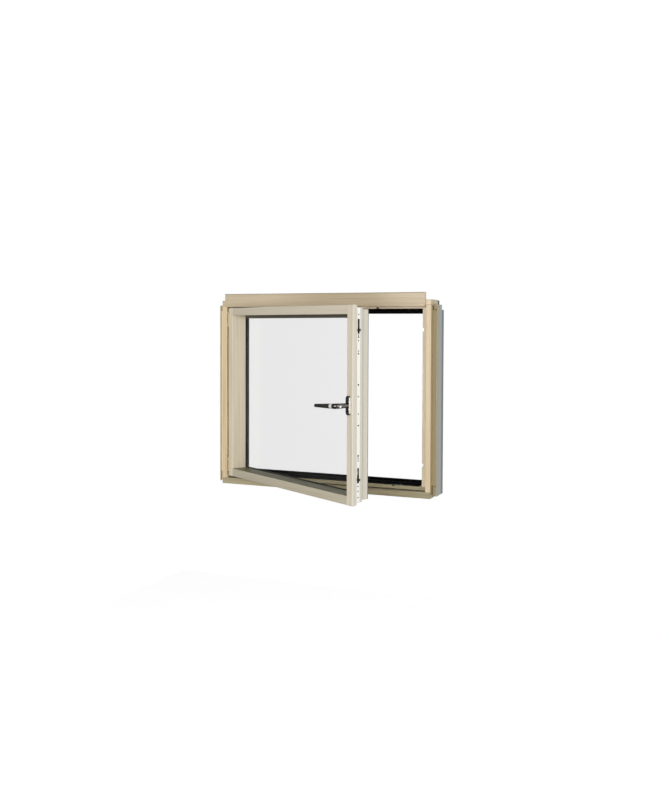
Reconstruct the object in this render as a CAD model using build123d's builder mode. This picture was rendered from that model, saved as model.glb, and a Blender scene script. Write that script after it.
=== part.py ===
from build123d import *
import math
import os

# A side-hung timber window that opens into the room, made to stand under a roof window.
# X runs along the sill, to the right as seen from the room, Y runs from the room to the outside,
# and Z is up. The origin is on the bottom of the sill, at its middle, level with the front face.
# The sash pieces are drawn shut, and open_sash() then turns them to the angle at which they stand.

os.makedirs("parts", exist_ok=True)

# Frame
frame_width = 890.0
frame_height = 750.0
frame_depth = 87.0
lip_depth = 21.0            # front lip that stands round the sash
jamb_lip = 20.0
sill_lip = 24.5
head_lip = 20.0
lip_rounding = 2.0
sill_line_height = 17.0     # fine groove along the face of the sill
sill_line_width = 1.6

# Header board on the face of the head
board_inset = 20.5          # from the sides of the frame to the ends of the board
board_height = 52.5
board_drop = 25.3           # from the top of the frame to the underside of the board
board_front = -15.5
board_thickness = 18.5
board_rounding = 1.0

# Sash, with two steps round its edge
side_gap = 13.0
top_gap = 7.5
bottom_gap = 10.0
step_1 = 9.0
step_2 = 6.0
rebate_air = 3.0
rail_width = 32.0
sash_lip_depth = 15.0
middle_depth = 49.0
sash_depth = 78.0
sash_rounding = 2.5
reveal_rounding = 1.5
rest_angle = 30.2           # how far the sash stands open

# Glazing
glazing_wall = 6.0
seal_thickness = 1.5
pane_thickness = 4.0
cavity = 6.0
pane_clearance = 3.0
seal_sight = 1.0            # seal and spacer that show inside the timber
spacer_sight = 2.5
block_length = 60.0
block_spacing = 580.0
bead_thickness = 3.0
bead_sight = 1.0
bead_rounding = 1.2

# Hardware groove round the sash, faceplate and rods
groove_centre = 32.0
groove_width = 10.5
groove_depth = 7.5
plate_width = 14.0
plate_thickness = 2.0
plate_clearance = 0.2
rod_width = 10.0
rod_thickness = 2.5
rod_gap = 0.3               # from the rod to the faceplate over it
rod_travel = 18.0
slot_width = 8.4
slot_below = 12.5           # from the cam at rest to the ends of its slot
slot_above = 38.0
rail_slot_margin = 2.0
stem_radius = 2.75
cam_radius = 4.75
cam_stand = 1.0             # from the faceplate to the head of the cam
cam_height = 5.3
guide_length = 23.0         # black block round the stem of each cam on the stile
guide_side_air = 0.4
guide_stem_air = 0.1
guide_sink = 0.2
upper_cam_drop = 86.5       # from the top and the bottom of the sash to the cams on its stile
lower_cam_rise = 87.5
top_cam_inset = 187.0       # from the edge of the sash to the cams on its rails
bottom_cam_inset = 121.0
upper_joint_drop = 44.5     # from the corners of the sash to the ends of the faceplate
lower_joint_rise = 66.5
joint_gap = 0.4
top_plate_reach = 226.0     # along the rails
bottom_plate_reach = 165.0
stile_rod_end = 27.5        # from the corners of the sash to the rods
rail_rod_end = 30.0
rail_rod_tail = 22.0        # of the rod beyond its cam
plate_screw_steps = (59.0, 104.0)   # from the lower end of the faceplate
upper_screw_steps = (66.0, 123.0)   # from its upper end
handle_screw_step = 70.0

# Keeps, cast blocks with a channel, let into the frame behind a wall of timber
keep_before = 11.0          # from the cam at rest to the ends of the keep
keep_after = 37.0
keep_wall = 3.5
keep_hook = 1.9
keep_end = 39.0
keep_height = 6.8
keep_floor = 2.0
keep_entry = 6.4            # from the middle of the cam to the sides of its way in
keep_air = 0.2
keep_screw_steps = (30.5,)

# Handle
handle_inset = 20.5         # from the edge of the sash to the spindle
rose_width = 21.0
rose_height = 67.0
rose_thickness = 7.5
rose_corner = 10.4
rose_rounding = 2.0
rose_screw_spacing = 43.0
neck_radius = 8.2
elbow_radius = 9.3
elbow_bend = 12.0
handle_reach = 58.0
grip_length = 119.0
grip_droop = 2.5            # degrees below level
tip_height = 11.5
tip_thickness = 9.0
collar_radius = 9.6
collar_thickness = 2.5
spindle_side = 7.0
spindle_clearance = 0.3
spindle_end = 37.0
case_height = 74.0
case_depth = 12.5
case_width = 14.0
case_rounding = 2.0

# Hinges, in the gap between the lip of the jamb and the sash
hinge_inset = 6.5           # from the lip of the jamb to the pin
hinge_setback = 3.5
barrel_radius = 4.0
pin_radius = 2.0
pin_clearance = 0.05
pin_head = 2.5
leaf_height = 56.0
leaf_thickness = 2.0
frame_leaf_depth = 16.5
sash_leaf_depth = 14.0
leaf_front = 0.6
knuckle_height = 17.0
knuckle_gap = 0.3
hinge_end = 48.0            # from the corners of the sash to the middle of each hinge
hinge_web = 3.0
leaf_screw_spacing = 38.0
leaf_screw_inset = 4.2

# Seals of the frame and of the sash
root_seal_width = 2.2
root_seal_thickness = 3.0
root_seal_rounding = 1.0
sash_seal_width = 6.0
sash_seal_air = 0.4

# Outside: black stop, metal covers and foam
stop_inset = 52.6           # from the edge of the frame to the clear opening
stop_outset = 20.0
stop_thickness = 17.0
flange_start = 24.0         # weather bar on the sill, with a thin flange in front
flange_thickness = 1.5
flange_hole_air = 1.0
bar_start = 51.0
bar_slope = 3.0
sash_gap_over_bar = 3.5
sheet = 2.0
side_cover_stand = 18.0     # from the jamb to the inner face of the cover
cover_front = 15.0
cover_bottom = 8.0
cover_top_drop = 19.0       # from the top of the frame to the top of the side covers
cover_notch = 32.0          # corner cut out at the top and the back of the side covers
cover_notch_drop = 19.0
cover_bend = 7.0
cover_joint = 0.8
cover_edge = 2.0
drip_reach = 9.0            # fold along the bottom of the sill cover
drip_fall = 5.0
foam_front = 24.0
foam_bottom = 47.0
foam_top_drop = 40.0
foam_clearance = 0.3
cover_screw_spacing = 180.0
cover_screw_inset = 30.0
cover_screw_rows = 2        # on each side of the middle of the head and the sill
cover_screw_margin = 3.0

# Screws
screw_radius = 1.6
screw_head_radius = 3.0
screw_head_height = 1.6
screw_length = 14.0
screw_clearance = 0.15
pan_radius = 3.8
pan_height = 1.8

# Fixing holes through the sill and the head
fixing_spacing = 360.0
fixing_radius = 3.0
fixing_setback = 36.0

# Lines worked out from the sizes above
half_width = frame_width / 2
board_width = frame_width - 2 * board_inset
board_bottom = frame_height - board_drop
cover_top = frame_height - cover_top_drop
foam_top = frame_height - foam_top_drop
sash_side = half_width - jamb_lip - side_gap
sash_bottom = sill_lip + bottom_gap
sash_top = frame_height - head_lip - top_gap
jamb_rebate = jamb_lip + side_gap + step_1 - rebate_air
sill_rebate = sill_lip + bottom_gap + step_1 - rebate_air
head_rebate = head_lip + top_gap + step_1 - rebate_air
groove_front = groove_centre - groove_width / 2
groove_back = groove_centre + groove_width / 2
plate_front = groove_centre - plate_width / 2
plate_back = groove_centre + plate_width / 2
glazing_depth = sash_depth - 2 * seal_thickness - 2 * pane_thickness - cavity
inner_pane_front = glazing_depth + seal_thickness
outer_pane_front = inner_pane_front + pane_thickness + cavity
handle_x = sash_side - handle_inset
handle_height = (sash_bottom + sash_top) / 2
upper_hinge_height = sash_top - hinge_end
lower_hinge_height = sash_bottom + hinge_end
upper_cam_height = sash_top - upper_cam_drop
lower_cam_height = sash_bottom + lower_cam_rise
upper_joint = sash_top - upper_joint_drop
lower_joint = sash_bottom + lower_joint_rise
top_cam_x = sash_side - top_cam_inset
bottom_cam_x = sash_side - bottom_cam_inset
plate_screw_heights = (
    *(lower_joint + step for step in plate_screw_steps),
    handle_height - handle_screw_step,
    handle_height + handle_screw_step,
    *(upper_joint - step for step in upper_screw_steps),
)
hinge_x = -half_width + jamb_lip + hinge_inset
hinge_axis = Axis((hinge_x, hinge_setback, 0), (0, 0, 1))
stop_back = frame_depth + stop_thickness
cover_back = stop_back + sheet
cover_side = half_width + side_cover_stand


def inset(outline, distance):
    left, right, bottom, top = outline
    return left + distance, right - distance, bottom + distance, top - distance


# Each outline is left, right, bottom, top, as seen from the room
frame_outline = (-half_width, half_width, 0, frame_height)
lip_outline = (-sash_side, sash_side, sash_bottom, sash_top)
middle_outline = inset(lip_outline, step_1)
rear_outline = inset(middle_outline, step_2)
reveal_outline = inset(lip_outline, rail_width)
glazing_outline = inset(rear_outline, glazing_wall)
pane_outline = inset(glazing_outline, pane_clearance)
clear_outline = inset(frame_outline, stop_inset)
sash_face = middle_outline[1]


def block(left, right, bottom, top, mode=Mode.ADD):
    """A rectangle in the open sketch, given by its edges."""
    with Locations((left, bottom)):
        Rectangle(right - left, top - bottom, align=(Align.MIN, Align.MIN), mode=mode)


def layer(front, back, outer, inner=None, mode=Mode.ADD):
    """A plate or ring that stands upright from one depth to another."""
    with BuildSketch(Plane.XZ.offset(-front)) as upright:
        block(*outer)
        if inner:
            block(*inner, mode=Mode.SUBTRACT)
    extrude(upright.sketch, amount=front - back, mode=mode)


def screws(places, length=screw_length, clearance=0.0, mode=Mode.ADD):
    """Countersunk screws, or their holes, with the heads flush with the given planes."""
    with Locations(*places):
        Cone(
            screw_radius + clearance,
            screw_head_radius + clearance,
            screw_head_height,
            align=(Align.CENTER, Align.CENTER, Align.MAX),
            mode=mode,
        )
        Cylinder(
            screw_radius + clearance,
            length + clearance,
            align=(Align.CENTER, Align.CENTER, Align.MAX),
            mode=mode,
        )


def screw_holes(places):
    screws(places, clearance=screw_clearance, mode=Mode.SUBTRACT)


def finish(part, name):
    part.label = name
    export_step(part, f"parts/{name}.step")


def open_sash(part):
    return part.rotate(hinge_axis, -rest_angle)


# Places of the screws, with each plane's Z pointing out of the head
def facing(direction, points):
    return [Plane(origin=point, z_dir=direction) for point in points]


rebate_side = half_width - jamb_rebate
rebate_top = frame_height - head_rebate
keep_front = lip_depth + keep_wall
keep_middle = (keep_front + keep_hook + keep_end) / 2
keep_sink = keep_height - keep_floor
jamb_cam_heights = (lower_cam_height, upper_cam_height)
jamb_keep_screws = facing(
    (-1, 0, 0),
    [(rebate_side, keep_middle, height + step) for height in jamb_cam_heights for step in keep_screw_steps],
)
sill_keep_screws = facing(
    (0, 0, 1),
    [(bottom_cam_x + step, keep_middle, sill_rebate) for step in keep_screw_steps],
)
head_keep_screws = facing(
    (0, 0, -1),
    [(top_cam_x - step, keep_middle, rebate_top) for step in keep_screw_steps],
)
frame_leaf_screws = facing(
    (1, 0, 0),
    [
        (-half_width + jamb_lip + leaf_thickness, leaf_front + frame_leaf_depth - leaf_screw_inset, centre + side)
        for centre in (lower_hinge_height, upper_hinge_height)
        for side in (-leaf_screw_spacing / 2, leaf_screw_spacing / 2)
    ],
)
sash_leaf_screws = facing(
    (-1, 0, 0),
    [
        (-sash_side - leaf_thickness, leaf_front + sash_leaf_depth - leaf_screw_inset, centre + side)
        for centre in (lower_hinge_height, upper_hinge_height)
        for side in (-leaf_screw_spacing / 2, leaf_screw_spacing / 2)
    ],
)
plate_screws = facing((1, 0, 0), [(sash_face, groove_centre, height) for height in plate_screw_heights])



def keep_outline(where, cam, start, end, near, far):
    """The outline of a piece of a keep: along the way of its cam, and across into the frame."""
    if where == "jamb":
        return rebate_side + near, rebate_side + far, cam - start, cam + end
    if where == "sill":
        return cam - start, cam + end, sill_rebate - far, sill_rebate - near
    return cam - end, cam + start, rebate_top + near, rebate_top + far


def keep_pocket(where, cam):
    """The pocket in the timber for a keep, and the way in for the cam."""
    pocket = keep_outline(where, cam, keep_before + keep_air, keep_after + keep_air, 0, keep_height)
    layer(keep_front, keep_end + keep_air, pocket, mode=Mode.SUBTRACT)
    way_in = keep_outline(where, cam, keep_entry, keep_entry, 0, keep_sink)
    layer(lip_depth, keep_front, way_in, mode=Mode.SUBTRACT)


def keep_block(where, cam):
    """A cast keep: the cam comes in through the gap, and slides along behind the hook."""
    layer(keep_front, keep_end, keep_outline(where, cam, keep_before, keep_after, 0, keep_height))
    way_in = keep_outline(where, cam, keep_entry, keep_entry, 0, keep_sink)
    layer(keep_front, keep_end - keep_floor, way_in, mode=Mode.SUBTRACT)
    travel = keep_outline(where, cam, keep_entry, rod_travel + keep_entry, 0, keep_sink)
    layer(keep_front + keep_hook, keep_end - keep_floor, travel, mode=Mode.SUBTRACT)


def fixing_holes(height, radius):
    with Locations(Plane.XY.offset(height)):
        with Locations((-fixing_spacing / 2, fixing_setback), (fixing_spacing / 2, fixing_setback)):
            Hole(radius)


# Frame: sill and head run through, and the jambs stand between them
with BuildPart() as sill:
    with BuildSketch(Plane.YZ.offset(-half_width)):
        block(0, lip_depth, 0, sill_lip)
        block(lip_depth, frame_depth, 0, sill_rebate)
        block(0, sill_line_width, sill_line_height, sill_line_height + sill_line_width, mode=Mode.SUBTRACT)
    extrude(amount=frame_width)
    front_edges = sill.edges().filter_by(Axis.X).group_by(Axis.Y)[0]
    fillet([front_edges.sort_by(Axis.Z)[0], front_edges.sort_by(Axis.Z)[-1]], lip_rounding)
    keep_pocket("sill", bottom_cam_x)
    fixing_holes(sill_rebate, fixing_radius)
    screw_holes(sill_keep_screws)
finish(sill.part, "frame_sill")

with BuildPart() as head:
    with BuildSketch(Plane.YZ.offset(-half_width)):
        block(0, lip_depth, frame_height - head_lip, frame_height)
        block(lip_depth, frame_depth, rebate_top, frame_height)
    extrude(amount=frame_width)
    front_edges = head.edges().filter_by(Axis.X).group_by(Axis.Y)[0]
    fillet(front_edges, lip_rounding)
    board_recess = (-board_width / 2, board_width / 2, board_bottom, board_bottom + board_height)
    layer(0, board_front + board_thickness, board_recess, mode=Mode.SUBTRACT)
    keep_pocket("head", top_cam_x)
    fixing_holes(frame_height, fixing_radius)
    screw_holes(head_keep_screws)
finish(head.part, "frame_head")


def jamb(side, cams, holes):
    """One upright of the frame, with side -1 for left and 1 for right."""
    with BuildPart() as upright:
        lip = sorted((side * half_width, side * (half_width - jamb_lip)))
        rebate = sorted((side * half_width, side * rebate_side))
        layer(0, lip_depth, (*lip, sill_lip, frame_height - head_lip))
        fillet(upright.edges().filter_by(Axis.Z).group_by(Axis.Y)[0], lip_rounding)
        layer(lip_depth, frame_depth, (*rebate, sill_rebate, rebate_top))
        for height in cams:
            keep_pocket("jamb", height)
        screw_holes(holes)
    return upright.part


finish(jamb(-1, [], frame_leaf_screws), "left_jamb")
finish(jamb(1, jamb_cam_heights, jamb_keep_screws), "right_jamb")

with BuildPart() as board:
    layer(board_front, board_front + board_thickness, board_recess)
    fillet(board.faces().sort_by(Axis.Y)[0].edges(), board_rounding)
finish(board.part, "header_board")

with BuildPart() as root_seal:
    lip_line = (
        -half_width + jamb_lip,
        half_width - jamb_lip,
        sill_lip,
        frame_height - head_lip,
    )
    layer(lip_depth - root_seal_thickness, lip_depth, lip_line, inset(lip_line, root_seal_width))
    fillet(root_seal.faces().sort_by(Axis.Y)[0].inner_wires()[0].edges(), root_seal_rounding)
finish(root_seal.part, "frame_seal")

with BuildPart() as jamb_keeps:
    for height in jamb_cam_heights:
        keep_block("jamb", height)
    screw_holes(jamb_keep_screws)
finish(jamb_keeps.part, "jamb_keeps")

with BuildPart() as sill_keep:
    keep_block("sill", bottom_cam_x)
    screw_holes(sill_keep_screws)
finish(sill_keep.part, "sill_keep")

with BuildPart() as head_keep:
    keep_block("head", top_cam_x)
    screw_holes(head_keep_screws)
finish(head_keep.part, "head_keep")

with BuildPart() as frame_screws:
    screws(jamb_keep_screws + sill_keep_screws + head_keep_screws + frame_leaf_screws)
finish(frame_screws.part, "frame_screws")

# Black stop behind the timber, which the metal covers are screwed to
left, right, bottom, top = clear_outline
stop_low = stop_outset
stop_high = frame_height - stop_outset
stop_far = half_width - stop_outset
cover_screw_depth = sheet + stop_thickness - cover_screw_margin
side_screw_heights = [frame_height / 2 + step * cover_screw_spacing for step in (-1, 0, 1)]
rail_screw_places = [step * cover_screw_spacing for step in range(-cover_screw_rows, cover_screw_rows + 1)]
cover_screw_places = facing(
    (0, 1, 0),
    [(side * (half_width - cover_screw_inset), cover_back, height) for side in (-1, 1) for height in side_screw_heights]
    + [
        (place, cover_back, height)
        for place in rail_screw_places
        for height in (cover_screw_inset, frame_height - cover_screw_inset)
    ],
)


def pan_screws(clearance=0.0, mode=Mode.ADD, heads=True):
    with Locations(*cover_screw_places):
        Cylinder(
            screw_radius + clearance,
            cover_screw_depth,
            align=(Align.CENTER, Align.CENTER, Align.MAX),
            mode=mode,
        )
        if heads:
            Cylinder(pan_radius, pan_height, align=(Align.CENTER, Align.CENTER, Align.MIN), mode=mode)


def stop_bar(outline, name):
    with BuildPart() as bar:
        layer(frame_depth, stop_back, outline)
        pan_screws(screw_clearance, Mode.SUBTRACT, heads=False)
    finish(bar.part, name)


stop_bar((-stop_far, stop_far, top, stop_high), "head_stop")
stop_bar((-stop_far, stop_far, stop_low, bottom), "sill_stop")
stop_bar((-stop_far, left, bottom, top), "left_stop")
stop_bar((right, stop_far, bottom, top), "right_stop")

with BuildPart() as weather_bar:
    bar_top = sash_bottom + step_1 + step_2 - sash_gap_over_bar
    flange_top = sill_rebate + flange_thickness
    with BuildSketch(Plane.YZ.offset(left)):
        with BuildLine():
            Polyline(
                (flange_start, sill_rebate),
                (frame_depth, sill_rebate),
                (frame_depth, bar_top),
                (bar_start + bar_slope, bar_top),
                (bar_start, bar_top - bar_slope),
                (bar_start, flange_top),
                (flange_start, flange_top),
                close=True,
            )
        make_face()
    extrude(amount=right - left)
    over_keep = (bottom_cam_x - keep_before, bottom_cam_x + keep_after, sill_rebate, bar_top)
    layer(flange_start, keep_end + flange_hole_air, over_keep, mode=Mode.SUBTRACT)
    fixing_holes(bar_top, fixing_radius + flange_hole_air)
finish(weather_bar.part, "weather_bar")


# Metal covers: one folded sheet for each side, and one for the head and for the sill
def side_cover(side):
    with BuildPart() as cover:
        outer = cover_side + sheet
        with BuildSketch(Plane.XY.offset(cover_bottom)) as fold:
            block(cover_side, outer, cover_front, cover_back)
            block(half_width + cover_joint, outer, stop_back, cover_back)
            fillet(fold.vertices().sort_by_distance((cover_side, stop_back))[0], cover_bend - sheet)
            fillet(fold.vertices().sort_by_distance((outer, cover_back))[0], cover_bend)
        extrude(fold.sketch, amount=cover_top - cover_bottom)
        layer(stop_back, cover_back, (right, half_width + cover_joint, bottom + cover_joint, top - cover_joint))
        notch = (half_width + cover_joint, outer, cover_top - cover_notch_drop, cover_top)
        layer(cover_back - cover_notch, cover_back, notch, mode=Mode.SUBTRACT)
        if side < 0:
            mirror(about=Plane.YZ, mode=Mode.REPLACE)
        pan_screws(screw_clearance, Mode.SUBTRACT, heads=False)
    return cover.part


finish(side_cover(-1), "left_cover")
finish(side_cover(1), "right_cover")


with BuildPart() as head_cover:
    high = frame_height - cover_edge
    layer(stop_back, cover_back, (-half_width, half_width, top, high))
    layer(frame_depth + 1, stop_back, (-half_width, half_width, high - sheet, high))
    pan_screws(screw_clearance, Mode.SUBTRACT, heads=False)
finish(head_cover.part, "head_cover")

with BuildPart() as sill_cover:
    drip_line = cover_edge + drip_fall
    layer(stop_back, cover_back, (-half_width, half_width, drip_line, bottom))
    with BuildSketch(Plane.YZ.offset(-half_width)) as drip:
        with BuildLine():
            Polyline(
                (stop_back, drip_line),
                (stop_back + drip_reach, drip_line - drip_fall),
                (cover_back + drip_reach, drip_line - drip_fall),
                (cover_back, drip_line),
                close=True,
            )
        make_face()
    extrude(drip.sketch, amount=frame_width)
    pan_screws(screw_clearance, Mode.SUBTRACT, heads=False)
finish(sill_cover.part, "sill_cover")

with BuildPart() as cover_screws:
    pan_screws()
finish(cover_screws.part, "cover_screws")

for side, name in ((-1, "left_foam"), (1, "right_foam")):
    with BuildPart() as foam:
        walls = sorted((side * half_width, side * (cover_side - foam_clearance)))
        layer(foam_front, frame_depth, (*walls, foam_bottom, foam_top))
    finish(foam.part, name)

# Sash: the four pieces are cut from one stepped ring, so that their steps meet at the corners
with BuildPart() as sash_ring:
    layer(0, sash_lip_depth, lip_outline, reveal_outline)
    front = sash_ring.faces().sort_by(Axis.Y)[0]
    fillet(front.outer_wire().edges(), sash_rounding)
    front = sash_ring.faces().sort_by(Axis.Y)[0]
    fillet(front.inner_wires()[0].edges(), reveal_rounding)
    layer(sash_lip_depth, middle_depth, middle_outline, reveal_outline)
    layer(middle_depth, glazing_depth, rear_outline, reveal_outline)
    layer(glazing_depth, sash_depth, rear_outline, glazing_outline)
    layer(groove_front, groove_back, middle_outline, inset(middle_outline, groove_depth), Mode.SUBTRACT)
    plate_line = inset(middle_outline, plate_thickness)
    layer(
        plate_front - plate_clearance,
        plate_back + plate_clearance,
        middle_outline,
        plate_line,
        Mode.SUBTRACT,
    )


def stile_mask(side, mode):
    with BuildSketch(Plane.XY) as mask:
        near = sorted((side * sash_side, side * reveal_outline[1]))
        far = sorted((side * sash_side, side * glazing_outline[1]))
        block(*near, 0, glazing_depth)
        block(*far, glazing_depth, sash_depth)
    extrude(mask.sketch, amount=frame_height, mode=mode)


case_back = sash_face - plate_thickness - rod_gap - rod_thickness - rod_gap
case_front = groove_centre - case_depth / 2
case_outline = (
    case_back - case_width,
    case_back,
    handle_height - case_height / 2,
    handle_height + case_height / 2,
)

with BuildPart() as right_stile:
    add(sash_ring.part)
    stile_mask(1, Mode.INTERSECT)
    pocket = (*case_outline[:2], case_outline[2] - 1, case_outline[3] + 1)
    layer(case_front - plate_clearance, case_front + case_depth + plate_clearance, pocket, mode=Mode.SUBTRACT)
    mouth = (case_back, sash_face, case_outline[2] - 1, case_outline[3] + 1)
    layer(case_front - plate_clearance, case_front + case_depth + plate_clearance, mouth, mode=Mode.SUBTRACT)
    with BuildSketch(Plane.XZ) as spindle_hole:
        with Locations((handle_x, handle_height)):
            Circle(spindle_side * 0.8)
    extrude(spindle_hole.sketch, amount=-groove_centre, mode=Mode.SUBTRACT)
    rose_screw_planes = facing(
        (0, -1, 0),
        [(handle_x, -3, handle_height + side * rose_screw_spacing / 2) for side in (-1, 1)],
    )
    screw_holes(rose_screw_planes)
    screw_holes(plate_screws)
finish(open_sash(right_stile.part), "sash_right_stile")

with BuildPart() as left_stile:
    add(sash_ring.part)
    stile_mask(-1, Mode.INTERSECT)
    screw_holes(sash_leaf_screws)
finish(open_sash(left_stile.part), "sash_left_stile")

with BuildPart() as rails:
    add(sash_ring.part)
    stile_mask(-1, Mode.SUBTRACT)
    stile_mask(1, Mode.SUBTRACT)
for index, name in ((0, "sash_bottom_rail"), (-1, "sash_top_rail")):
    with BuildPart() as rail:
        add(rails.part.solids().sort_by(Axis.Z)[index])
    finish(open_sash(rail.part), name)

# Sealed unit of two panes, with its seals, setting blocks and outside beads
for front, name in ((inner_pane_front, "inner_pane"), (outer_pane_front, "outer_pane")):
    with BuildPart() as pane:
        layer(front, front + pane_thickness, pane_outline)
    finish(open_sash(pane.part), name)

with BuildPart() as spacer:
    spacer_outer = inset(pane_outline, 2)
    spacer_inner = inset(reveal_outline, spacer_sight)
    layer(inner_pane_front + pane_thickness, outer_pane_front, spacer_outer, spacer_inner)
finish(open_sash(spacer.part), "spacer_bar")

seal_line = inset(reveal_outline, seal_sight)
for front, name in ((glazing_depth, "inner_glazing_seal"), (sash_depth - seal_thickness, "outer_glazing_seal")):
    with BuildPart() as glazing_seal:
        layer(front, front + seal_thickness, inset(glazing_outline, 1), seal_line)
    finish(open_sash(glazing_seal.part), name)

with BuildPart() as setting_blocks:
    floor = glazing_outline[2]
    for place in (-block_spacing / 2, block_spacing / 2):
        foot = (place - block_length / 2, place + block_length / 2, floor, floor + pane_clearance)
        layer(inner_pane_front, outer_pane_front + pane_thickness, foot)
finish(open_sash(setting_blocks.part), "setting_blocks")

left, right, bottom, top = rear_outline
sight_left, sight_right, sight_bottom, sight_top = inset(reveal_outline, bead_sight)
beads = {
    "left_bead": (left, sight_left, bottom, top),
    "right_bead": (sight_right, right, bottom, top),
    "bottom_bead": (sight_left, sight_right, bottom, sight_bottom),
    "top_bead": (sight_left, sight_right, sight_top, top),
}
for name, outline in beads.items():
    with BuildPart() as bead:
        layer(sash_depth, sash_depth + bead_thickness, outline)
        long_way = Axis.Z if name in ("left_bead", "right_bead") else Axis.X
        fillet(bead.edges().filter_by(long_way).group_by(Axis.Y)[-1], bead_rounding)
    finish(open_sash(bead.part), name)

with BuildPart() as sash_seal:
    seal_outer = inset(lip_outline, 1.5)
    layer(sash_lip_depth, lip_depth - sash_seal_air, seal_outer, inset(seal_outer, sash_seal_width))
    fillet(sash_seal.faces().sort_by(Axis.Y)[-1].outer_wire().edges(), seal_thickness)
finish(open_sash(sash_seal.part), "sash_seal")

# Espagnolette: faceplate, corner drives, lock case, rods and cams
rod_face = sash_face - plate_thickness - rod_gap
rod_back = rod_face - rod_thickness


def upright_slot(cam_z):
    """The hole in an upright plate in which a cam climbs."""
    outline = (sash_face - plate_thickness, sash_face, cam_z - slot_below, cam_z + slot_above)
    layer(groove_centre - slot_width / 2, groove_centre + slot_width / 2, outline, mode=Mode.SUBTRACT)


with BuildPart() as faceplate:
    layer(plate_front, plate_back, (sash_face - plate_thickness, sash_face, lower_joint, upper_joint))
    upright_slot(upper_cam_height)
    upright_slot(lower_cam_height)
    screw_holes(plate_screws)
finish(open_sash(faceplate.part), "lock_faceplate")


def corner_drive(joint, edge, inward, cam_x, travel, reach, name):
    """An L-shaped plate round a corner, from the faceplate to the slot of the cam on the rail."""
    face_left = sash_face - plate_thickness
    with BuildPart() as drive:
        layer(plate_front, plate_back, (face_left, sash_face, *sorted((joint, edge))))
        rail_face = sorted((edge, edge + inward * plate_thickness))
        layer(plate_front, plate_back, (sash_face - reach, sash_face, *rail_face))
        slot_start = stem_radius + rail_slot_margin
        ends = sorted((cam_x - travel * slot_start, cam_x + travel * (rod_travel + slot_start)))
        layer(
            groove_centre - slot_width / 2,
            groove_centre + slot_width / 2,
            (*ends, *rail_face),
            mode=Mode.SUBTRACT,
        )
        corner = drive.edges().filter_by(Axis.Y).sort_by_distance((sash_face, groove_centre, edge))[0]
        fillet(corner, plate_thickness * 0.75)
    finish(open_sash(drive.part), name)


corner_drive(
    lower_joint - joint_gap, middle_outline[2], 1, bottom_cam_x, 1, bottom_plate_reach, "bottom_corner_drive"
)
corner_drive(upper_joint + joint_gap, middle_outline[3], -1, top_cam_x, -1, top_plate_reach, "top_corner_drive")

with BuildPart() as lock_case:
    layer(case_front, case_front + case_depth, case_outline)
    fillet(lock_case.edges().filter_by(Axis.Y), case_rounding)
    with BuildSketch(Plane.XZ) as follower_hole:
        with Locations((handle_x, handle_height)):
            Circle(spindle_side * 0.78)
    extrude(follower_hole.sketch, amount=-frame_depth, mode=Mode.SUBTRACT)
finish(open_sash(lock_case.part), "lock_case")

with BuildPart() as lock_rod:
    layer(
        groove_centre - rod_width / 2,
        groove_centre + rod_width / 2,
        (rod_back, rod_face, sash_bottom + stile_rod_end, sash_top - stile_rod_end - rod_travel),
    )
    for height in plate_screw_heights:
        travel_slot = (
            rod_back,
            rod_face,
            height - rod_travel - screw_head_radius,
            height + screw_head_radius,
        )
        layer(groove_centre - slot_width / 2, groove_centre + slot_width / 2, travel_slot, mode=Mode.SUBTRACT)
finish(open_sash(lock_rod.part), "lock_rod")


def cam(point, direction):
    """A mushroom cam that stands on its rod, with its stem through the slot."""
    base = Plane(origin=point, z_dir=direction)
    stem = rod_gap + plate_thickness + cam_stand
    with BuildPart() as mushroom:
        with Locations(base):
            Cylinder(stem_radius, stem, align=(Align.CENTER, Align.CENTER, Align.MIN))
        with Locations(base.offset(stem)):
            Cylinder(cam_radius, cam_height, align=(Align.CENTER, Align.CENTER, Align.MIN))
        fillet(mushroom.edges().filter_by(GeomType.CIRCLE).sort_by_distance(Vector(*point))[-1], 1)
    return mushroom.part


with BuildPart() as lock_cams:
    for height in (lower_cam_height, upper_cam_height):
        add(cam((rod_face, groove_centre, height), (1, 0, 0)))
finish(open_sash(lock_cams.part), "lock_cams")

with BuildPart() as cam_guides:
    guide_half = slot_width / 2 - guide_side_air
    for height in (lower_cam_height, upper_cam_height):
        outline = (rod_face, sash_face - guide_sink, height - guide_length / 2, height + guide_length / 2)
        layer(groove_centre - guide_half, groove_centre + guide_half, outline)
        with Locations(Plane(origin=(rod_face, groove_centre, height), z_dir=(1, 0, 0))):
            Cylinder(
                stem_radius + guide_stem_air,
                plate_thickness + rod_gap,
                align=(Align.CENTER, Align.CENTER, Align.MIN),
                mode=Mode.SUBTRACT,
            )
finish(open_sash(cam_guides.part), "cam_guides")

for edge, inward, cam_x, name in (
    (middle_outline[2], 1, bottom_cam_x, "bottom"),
    (middle_outline[3], -1, top_cam_x, "top"),
):
    near = edge + inward * (plate_thickness + rod_gap)
    far = near + inward * rod_thickness
    with BuildPart() as rail_rod:
        layer(
            groove_centre - rod_width / 2,
            groove_centre + rod_width / 2,
            (cam_x - rail_rod_tail, sash_side - rail_rod_end, *sorted((near, far))),
        )
    finish(open_sash(rail_rod.part), f"{name}_rod")
    finish(open_sash(cam((cam_x, groove_centre, near), (0, 0, -inward))), f"{name}_cam")

with BuildPart() as sash_screws:
    screws(sash_leaf_screws + plate_screws)
finish(open_sash(sash_screws.part), "sash_screws")

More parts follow.
